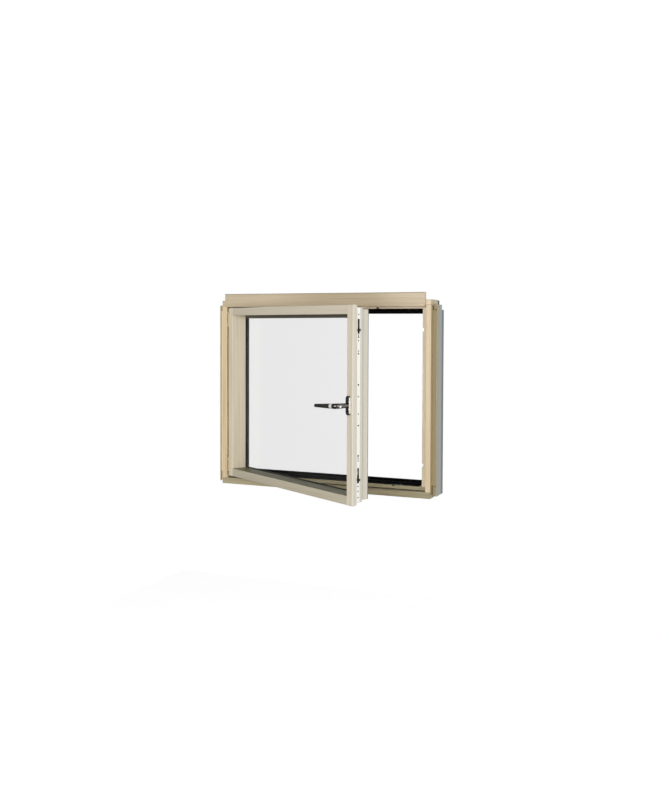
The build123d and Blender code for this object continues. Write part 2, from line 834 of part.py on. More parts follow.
# Handle: rose, lever with its neck and grip in one piece, and square spindle
with BuildPart() as rose:
    with BuildSketch(Plane.XZ):
        with Locations((handle_x, handle_height)):
            RectangleRounded(rose_width, rose_height, rose_corner)
    extrude(amount=rose_thickness)
    fillet(rose.faces().sort_by(Axis.Y)[0].edges(), rose_rounding)
    with BuildSketch(Plane.XZ) as rose_bore:
        with Locations((handle_x, handle_height)):
            Circle(spindle_side * 0.78)
            with Locations((0, -rose_screw_spacing / 2), (0, rose_screw_spacing / 2)):
                Circle(screw_head_radius + screw_clearance)
    extrude(rose_bore.sketch, amount=rose_thickness, mode=Mode.SUBTRACT)
finish(open_sash(rose.part), "handle_rose")

with BuildPart() as rose_screws:
    screws(rose_screw_planes)
finish(open_sash(rose_screws.part), "rose_screws")

neck_start = rose_thickness + 0.4
neck_end = handle_reach - elbow_bend
droop = math.radians(grip_droop)
grip_way = Vector(-math.cos(droop), 0, -math.sin(droop))
lever_plane = Plane(origin=(handle_x, 0, handle_height), x_dir=grip_way, z_dir=grip_way.cross(Vector(0, -1, 0)))
with BuildPart() as lever:
    neck = []
    for out, radius in ((neck_start, neck_radius), (neck_end, elbow_radius)):
        with BuildSketch(Plane.XZ.offset(out)) as ring:
            with Locations((handle_x, handle_height)):
                Circle(radius)
        neck.append(ring.sketch)
    loft(sections=neck, ruled=True)
    with BuildLine(lever_plane) as bend:
        RadiusArc((0, neck_end), (elbow_bend, handle_reach), elbow_bend)
    path = bend.wires()[0]
    with BuildSketch(Plane(origin=path @ 0, x_dir=lever_plane.z_dir, z_dir=path % 0)) as ring:
        Circle(elbow_radius)
    sweep(sections=ring.sketch, path=path)
    with BuildSketch(Plane(origin=path @ 1, x_dir=lever_plane.z_dir, z_dir=grip_way)) as grip_root:
        Circle(elbow_radius)
    grip_end = lever_plane.from_local_coords((grip_length, handle_reach, 0))
    with BuildSketch(Plane(origin=grip_end, x_dir=lever_plane.z_dir, z_dir=grip_way)) as grip_tip:
        Ellipse(tip_height / 2, tip_thickness / 2)
    loft(sections=[grip_root.sketch, grip_tip.sketch], ruled=True)
    fillet(lever.faces().sort_by(Axis.X)[0].edges(), tip_thickness * 0.3)
    with BuildSketch(Plane.XZ.offset(neck_start)) as collar:
        with Locations((handle_x, handle_height)):
            Circle(collar_radius)
    extrude(collar.sketch, amount=collar_thickness)
finish(open_sash(lever.part), "handle_lever")

with BuildPart() as spindle:
    with BuildSketch(Plane.XZ.offset(neck_start)):
        with Locations((handle_x, handle_height)):
            Rectangle(spindle_side, spindle_side)
    extrude(amount=-neck_start - spindle_end)
finish(open_sash(spindle.part), "spindle")

# Hinges: the leaf on the jamb has two knuckles, and the leaf on the sash has one between them
bore = pin_radius + pin_clearance
pin_spot = (hinge_x, hinge_setback)
half_leaf = leaf_height / 2


def knuckle(bottom, top):
    with BuildSketch(Plane.XY.offset(bottom)) as ring:
        with Locations(pin_spot):
            Circle(barrel_radius)
    extrude(ring.sketch, amount=top - bottom)


def bore_out():
    with BuildSketch(Plane.XY) as hole:
        with Locations(pin_spot):
            Circle(bore)
    extrude(hole.sketch, amount=frame_height, mode=Mode.SUBTRACT)


jamb_line = -half_width + jamb_lip
for centre, name in ((upper_hinge_height, "upper"), (lower_hinge_height, "lower")):
    low, high = centre - half_leaf, centre + half_leaf
    web = (hinge_setback - hinge_web / 2, hinge_setback + hinge_web / 2)
    with BuildPart() as frame_leaf:
        layer(leaf_front, leaf_front + frame_leaf_depth, (jamb_line, jamb_line + leaf_thickness, low, high))
        for start, end in ((low, low + knuckle_height), (high - knuckle_height, high)):
            knuckle(start, end)
            layer(*web, (jamb_line, hinge_x, start, end))
        bore_out()
        screw_holes(frame_leaf_screws)
    finish(frame_leaf.part, f"{name}_frame_leaf")

    with BuildPart() as sash_leaf:
        start = low + knuckle_height + knuckle_gap
        end = high - knuckle_height - knuckle_gap
        layer(leaf_front, leaf_front + sash_leaf_depth, (-sash_side - leaf_thickness, -sash_side, low, high))
        knuckle(start, end)
        layer(*web, (hinge_x, -sash_side, start, end))
        bore_out()
        screw_holes(sash_leaf_screws)
    finish(open_sash(sash_leaf.part), f"{name}_sash_leaf")

    with BuildPart() as pin:
        with Locations((*pin_spot, low)):
            Cylinder(pin_radius, leaf_height, align=(Align.CENTER, Align.CENTER, Align.MIN))
            Cylinder(barrel_radius, pin_head, align=(Align.CENTER, Align.CENTER, Align.MAX))
    finish(pin.part, f"{name}_hinge_pin")
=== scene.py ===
import math

import bmesh
import bpy
import numpy as np
from mathutils import Matrix, Vector, noise


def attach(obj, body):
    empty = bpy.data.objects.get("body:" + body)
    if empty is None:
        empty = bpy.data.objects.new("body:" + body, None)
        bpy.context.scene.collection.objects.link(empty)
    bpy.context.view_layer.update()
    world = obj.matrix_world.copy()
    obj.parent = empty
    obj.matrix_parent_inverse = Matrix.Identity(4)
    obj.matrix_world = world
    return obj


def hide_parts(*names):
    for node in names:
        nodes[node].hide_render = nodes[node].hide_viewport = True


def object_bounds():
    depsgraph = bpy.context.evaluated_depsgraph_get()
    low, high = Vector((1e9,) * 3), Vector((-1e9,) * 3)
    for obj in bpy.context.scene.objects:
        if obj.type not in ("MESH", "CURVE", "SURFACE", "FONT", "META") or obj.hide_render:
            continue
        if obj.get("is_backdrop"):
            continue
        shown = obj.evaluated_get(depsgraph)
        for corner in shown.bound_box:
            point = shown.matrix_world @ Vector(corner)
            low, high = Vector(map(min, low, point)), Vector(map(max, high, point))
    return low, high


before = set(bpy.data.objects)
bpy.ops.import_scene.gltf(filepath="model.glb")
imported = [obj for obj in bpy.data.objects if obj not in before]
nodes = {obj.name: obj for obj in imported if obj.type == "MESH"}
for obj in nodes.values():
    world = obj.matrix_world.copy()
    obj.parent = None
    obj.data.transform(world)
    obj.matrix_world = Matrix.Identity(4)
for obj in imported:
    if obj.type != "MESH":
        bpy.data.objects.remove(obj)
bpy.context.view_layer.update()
scene = bpy.context.scene
scene.view_settings.view_transform = "Standard"

# The camera stands in the room, to the right of the window and a little above its middle. The lens
# is shifted down, so the camera looks almost level and the window's uprights stay parallel.
picture_height = 801
focal_pixels = 942.31
shift_pixels = -46.9
camera_place = (1.4819, -3.3843, 0.6541)
camera_turn, camera_tilt, camera_roll = 22.876, -1.758, 0.2
camera_data = bpy.data.cameras.new("room_camera")
camera_data.sensor_width = 36
camera_data.lens = focal_pixels / picture_height * camera_data.sensor_width
camera_data.shift_y = shift_pixels / picture_height
camera = bpy.data.objects.new("room_camera", camera_data)
camera.matrix_world = (
    Matrix.Translation(camera_place)
    @ Matrix.Rotation(math.radians(camera_turn), 4, "Z")
    @ Matrix.Rotation(math.radians(90 + camera_tilt), 4, "X")
    @ Matrix.Rotation(math.radians(camera_roll), 4, "Z")
)
scene.collection.objects.link(camera)
scene.camera = camera


# Sill and head: lacquered pine, planed to a profile, with the grain along the window's width.
# The sides that meet the wall are coloured darker and more olive. The sill is darker and greyer
# towards its right end, below the free edge of the sash: painted shadow of the open sash.
class Wire:
    """An output of a node, on which Python's operators add Math nodes."""

    def __init__(self, tree, output=None):
        self.tree = tree
        self.output = output

    def node(self, kind, settings=None, sockets=None, output=0):
        made = self.tree.nodes.new(kind if "Node" in kind else "ShaderNode" + kind)
        for name, value in (settings or {}).items():
            setattr(made, name, value)
        for name, value in (sockets or {}).items():
            if isinstance(value, Wire):
                self.tree.links.new(value.output, made.inputs[name])
            elif isinstance(value, tuple) and made.inputs[name].type == "RGBA":
                made.inputs[name].default_value = (*value, 1)
            else:
                made.inputs[name].default_value = value
        return Wire(self.tree, made.outputs[output])

    def math(self, operation, *others):
        """A Math node on this value and the others."""
        return self.node("Math", {"operation": operation}, dict(enumerate((self, *others))))

    def __add__(self, other):
        return self.math("ADD", other)

    def __sub__(self, other):
        return self.math("SUBTRACT", other)

    def __rsub__(self, other):
        return self.node("Math", {"operation": "SUBTRACT"}, {0: other, 1: self})

    def __mul__(self, other):
        return self.math("MULTIPLY", other)

    def __truediv__(self, other):
        return self.math("DIVIDE", other)

    def __pow__(self, other):
        return self.math("POWER", other)

    def __gt__(self, other):
        return self.math("GREATER_THAN", other)

    __radd__ = __add__
    __rmul__ = __mul__

    def within(self, low, high):
        """0 below low, 1 above high and a smooth rise between."""
        return self.node(
            "MapRange",
            {"interpolation_type": "SMOOTHSTEP"},
            {"Value": self, "From Min": low, "From Max": high},
        )

    def mix(self, start, end):
        """The colour between start and end that this factor picks."""
        return self.node("Mix", {"data_type": "RGBA"}, {0: self, 6: start, 7: end}, output=2)

    def noise(self, scale, detail=2.0, roughness=0.5):
        return self.node(
            "TexNoise",
            None,
            {"Vector": self, "Scale": scale, "Detail": detail, "Roughness": roughness},
        )

    def stretch(self, x, y, z):
        return self.node("VectorMath", {"operation": "MULTIPLY"}, {0: self, 1: (x, y, z)})

    def shift(self, x, y, z):
        return self.node("VectorMath", {"operation": "ADD"}, {0: self, 1: (x, y, z)})

    def turn(self, axis, angle, centre=(0, 0, 0)):
        return self.node(
            "VectorRotate",
            {"rotation_type": axis + "_AXIS"},
            {"Vector": self, "Center": centre, "Angle": angle},
        )

    def part(self, letter):
        return self.node("SeparateXYZ", None, {0: self}, output="XYZ".index(letter))

    def from_middle(self):
        """The distance from the window's middle, to either side."""
        return self.part("X").math("ABSOLUTE")


def start_finish(name):
    """A new material, and the place on the object as a wire."""
    material = bpy.data.materials.new(name)
    material.use_nodes = True
    material.node_tree.nodes.clear()
    place = Wire(material.node_tree).node("TexCoord", output="Object")
    return material, place


def show(material, shader):
    output = material.node_tree.nodes.new("ShaderNodeOutputMaterial")
    material.node_tree.links.new(shader.output, output.inputs["Surface"])
    return material


def end_finish(material, sockets, bump=None, bump_depth=0.0001):
    wire = Wire(material.node_tree)
    if bump:
        raised = {"Strength": 1.0, "Distance": bump_depth, "Height": bump}
        sockets = {**sockets, "Normal": wire.node("Bump", None, raised)}
    return show(material, wire.node("BsdfPrincipled", None, sockets))


def dress(material, *names):
    for name in names:
        for slot in nodes[name].material_slots:
            slot.material = material


ring_gap = 0.0032
ring_wander = 0.012
ring_contrast = 0.42
fibre_contrast = 0.34
patch_contrast = 0.35
streak_contrast = 1.3
base_tone = 0.13
lacquer = {"Coat Weight": 0.25, "Coat Roughness": 0.3}
edge_colour_share = 0.85
arris = 0.0006
hinge_line = (-0.4185, 0.0035, 0)
rest_turn = math.radians(30.2)
frame_pale = (0.70, 0.57, 0.38)
frame_dark = (0.46, 0.32, 0.165)


def pine(
    name, along, pith, pale=frame_pale, late=frame_dark, opened=False, edge=None, light_and_shade_tints=()
):
    """Pine with growth rings round a pith that lies outside the piece, and fibres along it.
    Past the edges, given as (distance from the middle, depth) pairs and a colour, it takes that
    colour.
    A light-and-shade tint is a list of (axis, start, full, last, end), and the tint where all of
    them hold: painted light and shade."""
    material, place = start_finish(name)
    if opened:
        place = place.turn("Z", rest_turn, hinge_line)
    spot = place
    if along == "X":
        spot = spot.turn("Y", math.pi / 2)
    spot = spot.shift(pith[0], pith[1], pith[0])
    wander = spot.stretch(1, 1, 0.06).noise(14, 3) - 0.5
    from_pith = spot.node(
        "VectorMath", {"operation": "LENGTH"}, {0: spot.stretch(1, 1, 0.018)}, output="Value"
    )
    years = (from_pith + wander * ring_wander) / ring_gap
    rings = years.math("FRACT")
    late_wood = rings ** 2.6 * (1 - rings.within(0.93, 1.0))
    fibre = spot.stretch(1, 1, 0.012).noise(900, 2, 0.6)
    patch = spot.stretch(1, 1, 0.12).noise(9, 2)
    streak = spot.stretch(1, 1, 0.03).noise(95, 2)
    tone = (
        late_wood * ring_contrast
        + (fibre - 0.5) * fibre_contrast
        + (patch - 0.5) * patch_contrast
        + (streak - 0.5) * streak_contrast
        + base_tone
    )
    colour = tone.within(0, 1).mix(pale, late)
    if edge:
        limits, edge_colour = edge
        for limit, depth in limits:
            beside = place.from_middle().within(limit, limit + arris)
            behind = place.part("Y").within(depth - 0.0005, depth)
            colour = (beside * behind * edge_colour_share).mix(colour, edge_colour)
    # Painted light and shade, multiplied into the wood's colour.
    for ranges, tint in light_and_shade_tints:
        strength = 1
        for letter, start, full, last, end in ranges:
            spread = place.part(letter)
            strength = spread.within(start, full) * (1 - spread.within(last, end)) * strength
        colour = colour.node(
            "Mix",
            {"data_type": "RGBA", "blend_type": "MULTIPLY"},
            {0: strength, 6: colour, 7: tint},
            output=2,
        )
    return end_finish(
        material,
        {"Base Color": colour, "Roughness": 0.42 + fibre * 0.14, **lacquer},
        bump=fibre * 0.7 + late_wood * 0.3,
        bump_depth=0.00012,
    )


frame_side = 0.4443
# The sides of sill, head and jambs that meet the wall are coloured darker and more olive.
outer_side = (((frame_side, 0.0),), (0.40, 0.325, 0.185))
no_end = (1, 2)
# Painted shadow of the open sash on the sill, from the middle to the right end.
painted_sash_shadow_on_sill = ([("X", 0.10, 0.24, *no_end)], (0.78, 0.78, 0.74))
sill_pine = pine(
    "pine_sill",
    "X",
    (0.09, 0.06),
    (0.39, 0.335, 0.205),
    (0.27, 0.21, 0.11),
    edge=outer_side,
    light_and_shade_tints=[painted_sash_shadow_on_sill],
)
dress(sill_pine, "frame_sill")
head_pine = pine("pine_head", "X", (-0.83, 0.07), (0.62, 0.51, 0.36), edge=outer_side)
dress(head_pine, "frame_head")

# Jambs: pine from the same planks, standing between the sill and the head, with the rebate
# that the sash shuts into. Both rebates are painted lighter than the faces: painted light in their
# shade.
# Painted light in the shaded gap beside the left stile.
lit_rebate = ([("X", -0.4262, -0.4255, *no_end)], (1.48, 1.6, 1.85))
# Painted light on the right rebate, fading out next to the lip, which leaves a line of painted
# shade there.
painted_light_right_rebate = ([("X", 0.4, 0.404, 0.4205, 0.4245)], (1.1, 1.17, 1.28))
for side, pith, pale, rebate in (
    ("left", (0.36, 0.05), (0.66, 0.52, 0.31), lit_rebate),
    ("right", (-0.50, 0.06), (0.59, 0.48, 0.31), painted_light_right_rebate),
):
    jamb_pine = pine(f"pine_{side}_jamb", "Z", pith, pale, edge=outer_side, light_and_shade_tints=[rebate])
    dress(jamb_pine, side + "_jamb")

# Header board: a plain pine board, screwed on from behind, with its arrises only broken. It is
# darker from the middle towards the right, painted shade, and its top edge is darker.
# Painted shade in a patch from the middle towards the right.
painted_shade_patch = ([("X", -0.25, 0.06, 0.20, 0.36)], (0.79, 0.77, 0.70))
# Darker along the board's top edge.
darker_top_edge = ([("Z", 0.7738, 0.7746, *no_end)], (0.58, 0.60, 0.60))
board_pine = pine(
    "pine_board",
    "X",
    (-0.80, 0.11),
    (0.52, 0.43, 0.295),
    (0.38, 0.28, 0.16),
    light_and_shade_tints=[painted_shade_patch, darker_top_edge],
)
dress(board_pine, "header_board")


# Frame seal and glazing seals: black rubber, matte and a little dusty, pressed into grooves. The
# sash seal is of the same rubber in a beige that goes with the wood.
def rubber(name, dark, pale):
    made, place = start_finish(name)
    grit = place.noise(1500, 3)
    sockets = {"Base Color": grit.mix(dark, pale), "Roughness": 0.6 + grit * 0.2}
    return end_finish(made, sockets, bump=grit, bump_depth=0.00005)


black_rubber = rubber("black_rubber", (0.012, 0.012, 0.012), (0.03, 0.03, 0.03))
dress(black_rubber, "frame_seal", "inner_glazing_seal", "outer_glazing_seal")
dress(rubber("beige_rubber", (0.50, 0.46, 0.38), (0.60, 0.56, 0.47)), "sash_seal")

# Stops and weather bar: black extruded plastic behind the timber, with drawing lines from the die.
# The setting blocks under the glass and the guides of the cams are made of the same plastic.
stop_plastic, place = start_finish("black_plastic")
die_lines = place.stretch(0.02, 1, 1).noise(1300, 2)
end_finish(
    stop_plastic,
    {
        "Base Color": die_lines.mix((0.001, 0.001, 0.001), (0.003, 0.003, 0.003)),
        "Roughness": 0.7 + die_lines * 0.16,
        "Specular IOR Level": 0.06,
    },
    bump=die_lines,
    bump_depth=0.00004,
)
dress(stop_plastic, "head_stop", "sill_stop", "left_stop", "right_stop", "weather_bar")
dress(stop_plastic, "setting_blocks", "cam_guides")

# Covers: folded aluminium sheet with a grey powder coat, which has a fine orange-peel surface. The
# colour is warmer towards the room and darker towards the rear: painted reflection and painted
# shade.
# The side covers are painted light beige on the inside, and the left cover lighter: painted light.
cover_inner = 0.4631
reflection_fade = (0.030, 0.052)
shade_start = (0.070, 0.078)
lit_inside_end = (0.085, 0.087)
cool_grey = (0.285, 0.31, 0.29)
painted_shade_grey = (0.10, 0.115, 0.12)
painted_inside_light = (0.78, 0.70, 0.52)


def cover_coat(name, front, lit_inside):
    coat, place = start_finish(name)
    peel = place.noise(1100, 2, 0.4)
    cloud = place.noise(6, 2)
    depth = place.part("Y")
    # Painted reflection and painted shade: warm at the front, grey in the middle and dark at the
    # rear.
    room_side = depth.within(*reflection_fade).mix(front, cool_grey)
    both = (depth.within(*shade_start) * 0.9).mix(room_side, painted_shade_grey)
    tone = (cloud * 0.15).mix(both, (0.2, 0.21, 0.2))
    # Painted light on the inner faces of the side covers, in the channel's shade.
    if lit_inside:
        outside = place.from_middle().within(cover_inner, cover_inner + 0.0003)
        inside_lit = (1 - outside) * (1 - depth.within(*lit_inside_end))
        tone = inside_lit.mix(tone, painted_inside_light)
    sockets = {"Base Color": tone, "Roughness": 0.42 + peel * 0.16}
    return end_finish(coat, sockets, bump=peel, bump_depth=0.00008)


# The warm front colour is painted reflection.
reflected_warm_grey = (0.30, 0.27, 0.195)
dress(cover_coat("grey_powder_coat", reflected_warm_grey, False), "head_cover", "sill_cover")
dress(cover_coat("inside_lit_powder_coat", reflected_warm_grey, True), "right_cover")
# Painted light: the left cover's front colour is far lighter than the right's.
dress(cover_coat("painted_light_powder_coat", (0.72, 0.63, 0.46), True), "left_cover")


# Insulating strips: pressed olive-brown fibre in the channel between each jamb and its cover,
# painted
# much lighter at the left: painted light in the channel's shade.
def pressed_fibre(name, dark, pale):
    strip, place = start_finish(name)
    cells = place.node("TexVoronoi", None, {"Vector": place.stretch(1, 1, 0.15), "Scale": 900})
    sockets = {"Base Color": cells.mix(dark, pale), "Roughness": 0.9}
    return end_finish(strip, sockets, bump=cells, bump_depth=0.0003)


right_fibre = pressed_fibre("olive_fibre", (0.30, 0.235, 0.125), (0.38, 0.31, 0.18))
# Painted light: the left strip and its wads are coloured far lighter than the right.
left_fibre = pressed_fibre("painted_light_fibre", (0.74, 0.64, 0.45), (0.86, 0.76, 0.57))
dress(right_fibre, "right_foam")
dress(left_fibre, "left_foam")

# Loose wads of the same fibre close the ends of both channels. Each is a block with rounded edges
# whose surface is pushed in and out by a noise that depends on the place alone.
wad_width = 0.0160
wad_depth = 0.034
wad_edge = 0.003
wad_middle = (0.4540, 0.0415)
lower_end = (0.0095, 0.0462)
upper_end = (0.7108, 0.7300)
fuzz_depth = 0.0006
fuzz_scale = 260
for side, fibre in (("left", left_fibre), ("right", right_fibre)):
    for end, (low, high) in (("lower", lower_end), ("upper", upper_end)):
        shape = bmesh.new()
        bmesh.ops.create_cube(shape, size=1)
        size = Vector((wad_width, wad_depth, high - low))
        bmesh.ops.scale(shape, vec=size, verts=shape.verts)
        bmesh.ops.bevel(
            shape, geom=shape.edges[:], offset=wad_edge, segments=3, profile=0.5, affect="EDGES"
        )
        bmesh.ops.triangulate(shape, faces=shape.faces)
        bmesh.ops.subdivide_edges(shape, edges=shape.edges[:], cuts=3, use_grid_fill=True)
        across = -wad_middle[0] if side == "left" else wad_middle[0]
        middle = (across, wad_middle[1], (low + high) / 2)
        bmesh.ops.translate(shape, vec=middle, verts=shape.verts)
        shape.normal_update()
        for vert in shape.verts:
            vert.co -= vert.normal * fuzz_depth * (1 + noise.noise(vert.co * fuzz_scale))
        mesh = bpy.data.meshes.new("fibre_wad")
        shape.to_mesh(mesh)
        shape.free()
        mesh.materials.append(fibre)
        wad = bpy.data.objects.new(f"{end}_{side}_wad", mesh)
        scene.collection.objects.link(wad)
        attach(wad, "frame")

# Keeps: blocks of cast zinc, dark grey, with the grain of the mould. They are screwed into the
# frame, and each has a channel that its cam runs into.
cast_zinc, place = start_finish("dark_cast_zinc")
mould = place.noise(1700, 3)
end_finish(
    cast_zinc,
    {
        "Base Color": mould.mix((0.085, 0.09, 0.092), (0.15, 0.155, 0.158)),
        "Metallic": 0.7,
        "Roughness": 0.42 + mould * 0.2,
    },
    bump=mould,
    bump_depth=0.00006,
)
dress(cast_zinc, "jamb_keeps", "sill_keep", "head_keep")

# Sash: two stiles and two rails of paler pine, stepped round the edge to shut over the frame.
# The narrow sides of the stiles are painted greyer than their faces, painted shade, and the reveal
# of the bottom rail is painted dark olive, painted shade on its upward face.
sash_pale = (0.68, 0.61, 0.49)
sash_dark = (0.50, 0.41, 0.28)
left_pale = (0.75, 0.67, 0.51)
left_dark = (0.56, 0.46, 0.30)
rail_pale = (0.53, 0.48, 0.365)
rail_dark = (0.39, 0.32, 0.21)
lip_side = (0.4112, 0.0005)
middle_side = (0.3962, 0.0155)
# Painted shade: the narrow sides of the stiles are coloured greyer and darker.
stile_side = ((lip_side, middle_side), (0.47, 0.45, 0.38))
# Painted shade on the upward face of the bottom rail's reveal.
painted_shade_reveal = ([("Z", 0.0658, 0.0662, *no_end)], (0.33, 0.35, 0.17))
# Painted shadow of the step on the right stile's edge.
painted_step_shadow = ([("Y", 0.0488, 0.0492, 0.0555, 0.0565)], (0.82, 0.80, 0.76))
under_top = ("Z", 0.7192, 0.7198, *no_end)
hinge_half = ("X", -0.43, -0.42, -0.33, -0.12)
shaded = ([under_top, hinge_half], (0.22, 0.22, 0.15))
for name, along, pith, pale, late, light_and_shade_tint in (
    ("sash_left_stile", "Z", (0.35, 0.07), left_pale, left_dark, shaded),
    ("sash_right_stile", "Z", (-0.47, 0.08), sash_pale, sash_dark, painted_step_shadow),
    ("sash_bottom_rail", "X", (0.10, 0.08), rail_pale, rail_dark, painted_shade_reveal),
    ("sash_top_rail", "X", (-0.78, 0.07), (0.62, 0.56, 0.44), sash_dark, shaded),
):
    sash_pine = pine(
        "pine_" + name, along, pith, pale, late, opened=True, edge=stile_side, light_and_shade_tints=[light_and_shade_tint]
    )
    dress(sash_pine, name)

# Sealed unit: two float panes, coated so that they hardly mirror the room, with a black spacer
# between them, held by dark lacquered beads outside. The inner pane has a dark brown band on its
# top edge: painted shade, standing in for the shaded underside of the top rail.
clear_glass = {
    "Base Color": (0.925, 0.925, 0.925),
    "Roughness": 0.0,
    "IOR": 1.16,
    "Transmission Weight": 1.0,
}
pane, place = start_finish("float_glass")
end_finish(pane, clear_glass)
dress(pane, "outer_pane")

# Painted shade: a dark brown band across the top of the inner pane.
shade_band_bottom = 0.6785
pane_with_shade_band, place = start_finish("glass_with_painted_shade")
clear = place.node("BsdfPrincipled", None, clear_glass)
shade_grain = place.noise(700, 2)
brown = shade_grain.mix((0.085, 0.075, 0.05), (0.115, 0.10, 0.07))
shade_band_shader = place.node("BsdfPrincipled", None, {"Base Color": brown, "Roughness": 0.5})
in_shade_band = place.part("Z") > shade_band_bottom
show(pane_with_shade_band, place.node("MixShader", None, {0: in_shade_band, 1: clear, 2: shade_band_shader}))
dress(pane_with_shade_band, "inner_pane")

spacer, place = start_finish("warm_edge_spacer")
dust = place.noise(1200, 2).mix((0.02, 0.02, 0.02), (0.04, 0.04, 0.038))
end_finish(spacer, {"Base Color": dust, "Roughness": 0.6})
dress(spacer, "spacer_bar")

bead_coat, place = start_finish("dark_powder_coat")
peel = place.noise(1100, 2, 0.4)
end_finish(
    bead_coat,
    {
        "Base Color": peel.mix((0.05, 0.053, 0.05), (0.075, 0.08, 0.075)),
        "Roughness": 0.4 + peel * 0.15,
    },
    bump=peel,
    bump_depth=0.00006,
)
dress(bead_coat, "left_bead", "right_bead", "bottom_bead", "top_bead")

# Lock: a steel strip with a silver coating, drawn along its length and screwed to the sash's edge,
# with drives round both corners. The lever's square spindle, zinc-plated, passes into its case.
lock_steel, place = start_finish("silver_strip")
drawn = place.stretch(1, 1, 0.02).noise(2600, 2)
flake = place.noise(240, 2)
end_finish(
    lock_steel,
    {
        "Base Color": flake.mix((0.68, 0.67, 0.64), (0.80, 0.79, 0.76)),
        "Metallic": 0.9,
        "Roughness": 0.24 + drawn * 0.2,
    },
    bump=drawn,
    bump_depth=0.00003,
)
dress(lock_steel, "lock_faceplate", "top_corner_drive", "bottom_corner_drive", "lock_case")

zinc_plate, place = start_finish("zinc_plating")
bloom = place.noise(420, 3)
end_finish(
    zinc_plate,
    {
        "Base Color": bloom.mix((0.50, 0.50, 0.48), (0.68, 0.68, 0.66)),
        "Metallic": 0.95,
        "Roughness": 0.28 + bloom * 0.2,
    },
    bump=bloom,
    bump_depth=0.00003,
)
dress(zinc_plate, "spindle")

# Rods and cams: steel, phosphated to a dark grey and oiled. The rods slide behind the strip, and
# their cams stand out through its slots.
phosphated, place = start_finish("oiled_phosphate")
bloom = place.noise(900, 3)
end_finish(
    phosphated,
    {
        "Base Color": bloom.mix((0.012, 0.012, 0.011), (0.03, 0.03, 0.028)),
        "Roughness": 0.5 + bloom * 0.2,
        "Specular IOR Level": 0.2,
    },
    bump=bloom,
    bump_depth=0.00003,
)
dress(phosphated, "lock_rod", "top_rod", "bottom_rod", "lock_cams", "top_cam", "bottom_cam")

# Hinges: steel leaves and pins with a yellow chromate finish, in the gap beside the left stile.
# One leaf of each is screwed to the jamb and the other to the sash.
chromate, place = start_finish("yellow_chromate")
bloom = place.noise(380, 3)
end_finish(
    chromate,
    {
        "Base Color": bloom.mix((0.52, 0.40, 0.22), (0.66, 0.54, 0.33)),
        "Metallic": 0.55,
        "Roughness": 0.38 + bloom * 0.2,
    },
    bump=bloom,
    bump_depth=0.00003,
)
dress(chromate, "upper_frame_leaf", "lower_frame_leaf", "upper_sash_leaf", "lower_sash_leaf")
dress(chromate, "upper_hinge_pin", "lower_hinge_pin")


# Handle: cast lever on a long rose, both in dark satin chrome. The bend of the lever, a spot on its
# neck and the free side of the rose are painted bright: painted highlights.
def dark_chrome(name, highlight):
    """The finish, with highlight as a function that gives the painted highlight at a place of the
    shut sash.
    """
    chrome, place = start_finish(name)
    satin = place.noise(1900, 2)
    patch = place.noise(35, 3)
    painted_highlight = highlight(place.turn("Z", rest_turn, hinge_line))
    tone = patch.mix((0.10, 0.098, 0.092), (0.17, 0.165, 0.155))
    return end_finish(
        chrome,
        {
            "Base Color": painted_highlight.mix(tone, (0.86, 0.84, 0.80)),
            "Metallic": 1 - painted_highlight * 0.8,
            "Roughness": 0.16 + satin * 0.1 + painted_highlight * 0.2,
        },
        bump=satin,
        bump_depth=0.00002,
    )


# Painted highlights on the lever's bend, a spot on its neck and the rose's free side.
bend_start = (0.3635, 0.3655)
bend_end = (0.3790, 0.3815)
neck_highlight_spot = (0.3990, -0.0430, 0.3765)
spot_edge = (0.0035, 0.0055)
rose_edge = (0.4000, 0.4012)


def lever_highlights(shut):
    bend = shut.part("X").within(*bend_start) * (1 - shut.part("X").within(*bend_end))
    to_spot = shut.node(
        "VectorMath", {"operation": "DISTANCE"}, {0: shut, 1: neck_highlight_spot}, output="Value"
    )
    return bend.math("MAXIMUM", 1 - to_spot.within(*spot_edge))


def rose_highlight(shut):
    return shut.part("X").within(*rose_edge) * 0.7


dress(dark_chrome("lever_chrome_painted_highlights", lever_highlights), "handle_lever")
dress(dark_chrome("rose_chrome_painted_highlight", rose_highlight), "handle_rose")

# Screws: zinc-plated, countersunk in the hardware and pan-headed in the covers, each with a cross
# recess that has stopped at its own angle. One turned shape is set on every screw place of a body.
dress(zinc_plate, "sash_screws", "frame_screws", "rose_screws", "cover_screws")
turning_steps = 28
recess_width = 0.0009
recess_length = 4.2 * recess_width
recess_depth = 0.0016


def turned_shape(name, profile):
    """A solid of revolution round Z, from (radius, height) points that begin and end on it."""
    lathe = bmesh.new()
    spots = [lathe.verts.new((radius, 0, height)) for radius, height in profile]
    edges = [lathe.edges.new(pair) for pair in zip(spots, spots[1:])]
    bmesh.ops.spin(
        lathe,
        geom=spots + edges,
        cent=(0, 0, 0),
        axis=(0, 0, 1),
        angle=math.tau,
        steps=turning_steps,
        use_merge=True,
    )
    bmesh.ops.remove_doubles(lathe, verts=lathe.verts, dist=1e-7)
    bmesh.ops.recalc_face_normals(lathe, faces=lathe.faces)
    mesh = bpy.data.meshes.new(name)
    lathe.to_mesh(mesh)
    lathe.free()
    return bpy.data.objects.new(name, mesh)


